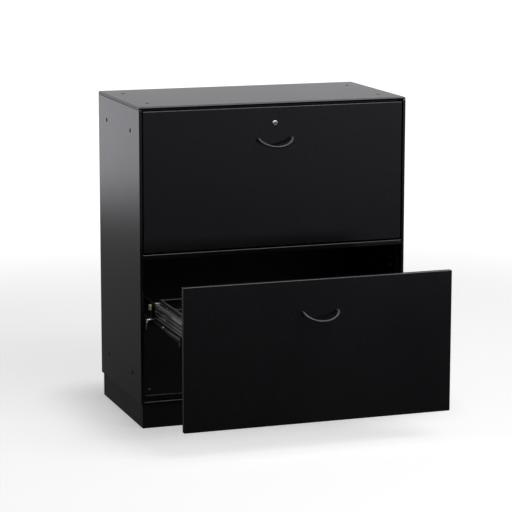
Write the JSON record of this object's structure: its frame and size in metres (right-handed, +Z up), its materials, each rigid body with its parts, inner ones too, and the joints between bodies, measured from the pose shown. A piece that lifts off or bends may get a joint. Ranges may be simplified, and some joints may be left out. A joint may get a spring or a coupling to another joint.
{
  "type": "lateral filing cabinet",
  "caption": "Wide floor-standing filing cabinet of dark lacquered board on a recessed plinth, with flush lockable drawers that carry hanging-file frames on telescopic slides.",
  "frame": {"origin": "on the floor under the middle of the carcass", "axes": "+Z up, -Y the way the drawers open, +X to the right of someone who stands in front"},
  "size_m": [0.8, 0.841, 0.92],
  "materials": {
    "lacquered_board": "satin black lacquer on board",
    "painted_steel": "dark grey satin paint on folded steel",
    "zinc_plate": "dull bright zinc plating",
    "nylon": "yellowed nylon",
    "chrome": "polished chrome plating",
    "handle_lacquer": "satin black lacquer on bent rod"
  },
  "bodies": {
    "cabinet": {"top_panel": "lacquered_board", "bottom_panel": "lacquered_board", "left_side_panel": "lacquered_board", "right_side_panel": "lacquered_board", "back_panel": "lacquered_board", "drawer_divider": "lacquered_board", "plinth_front": "lacquered_board", "plinth_rear": "lacquered_board", "plinth_left": "lacquered_board", "plinth_right": "lacquered_board", "plinth_brace": "lacquered_board", "lock_keeper": "painted_steel", "upper_left_slide_batten": "lacquered_board", "upper_left_cabinet_rail": "zinc_plate", "upper_left_cabinet_glide": "nylon", "upper_left_guide_post": "nylon", "upper_right_slide_batten": "lacquered_board", "upper_right_cabinet_rail": "zinc_plate", "upper_right_cabinet_glide": "nylon", "upper_right_guide_post": "nylon", "lower_left_slide_batten": "lacquered_board", "lower_left_cabinet_rail": "zinc_plate", "lower_left_cabinet_glide": "nylon", "lower_left_guide_post": "nylon", "lower_right_slide_batten": "lacquered_board", "lower_right_cabinet_rail": "zinc_plate", "lower_right_cabinet_glide": "nylon", "lower_right_guide_post": "nylon"},
    "upper_drawer": {"upper_drawer_front": "lacquered_board", "upper_handle": "handle_lacquer", "upper_left_handle_screw": "zinc_plate", "upper_right_handle_screw": "zinc_plate", "upper_left_file_rail": "painted_steel", "upper_right_file_rail": "painted_steel", "upper_front_cross_rail": "painted_steel", "upper_rear_cross_rail": "painted_steel", "upper_centre_file_rail": "painted_steel", "lock_housing": "chrome", "lock_nut": "zinc_plate"},
    "lower_drawer": {"lower_drawer_front": "lacquered_board", "lower_handle": "handle_lacquer", "lower_left_handle_screw": "zinc_plate", "lower_right_handle_screw": "zinc_plate", "lower_left_file_rail": "painted_steel", "lower_right_file_rail": "painted_steel", "lower_front_cross_rail": "painted_steel", "lower_rear_cross_rail": "painted_steel", "lower_centre_file_rail": "painted_steel"},
    "upper_left_telescope": {"upper_left_telescopic_rail": "painted_steel", "upper_left_telescopic_glide": "nylon"},
    "upper_right_telescope": {"upper_right_telescopic_rail": "painted_steel", "upper_right_telescopic_glide": "nylon"},
    "lower_left_telescope": {"lower_left_telescopic_rail": "painted_steel", "lower_left_telescopic_glide": "nylon"},
    "lower_right_telescope": {"lower_right_telescopic_rail": "painted_steel", "lower_right_telescopic_glide": "nylon"},
    "lock_barrel": {"lock_plug": "chrome", "lock_cam": "zinc_plate"}
  },
  "joints": [
    {"name": "upper_drawer_slide", "type": "slide", "parent": "cabinet", "child": "upper_drawer", "axis": [0, -1, 0], "range_m": [0, 0.38]},
    {"name": "lower_drawer_slide", "type": "slide", "parent": "cabinet", "child": "lower_drawer", "axis": [0, -1, 0], "range_m": [-0.374, 0.006]},
    {"name": "upper_left_telescope_slide", "type": "slide", "parent": "cabinet", "child": "upper_left_telescope", "axis": [0, -1, 0], "range_m": [0, 0.2356]},
    {"name": "upper_right_telescope_slide", "type": "slide", "parent": "cabinet", "child": "upper_right_telescope", "axis": [0, -1, 0], "range_m": [0, 0.2356]},
    {"name": "lower_left_telescope_slide", "type": "slide", "parent": "cabinet", "child": "lower_left_telescope", "axis": [0, -1, 0], "range_m": [-0.2319, 0.0038]},
    {"name": "lower_right_telescope_slide", "type": "slide", "parent": "cabinet", "child": "lower_right_telescope", "axis": [0, -1, 0], "range_m": [-0.2319, 0.0038]},
    {"name": "lock_turn", "type": "hinge", "parent": "upper_drawer", "child": "lock_barrel", "pos_m": [0, -0.215, 0.86], "axis": [0, -1, 0], "range_deg": [0, 90]}
  ],
  "couplings": [
    {"joint": "upper_left_telescope_slide", "follows": "upper_drawer_slide", "ratio": 0.62},
    {"joint": "upper_right_telescope_slide", "follows": "upper_drawer_slide", "ratio": 0.62},
    {"joint": "lower_left_telescope_slide", "follows": "lower_drawer_slide", "ratio": 0.62},
    {"joint": "lower_right_telescope_slide", "follows": "lower_drawer_slide", "ratio": 0.62}
  ]
}
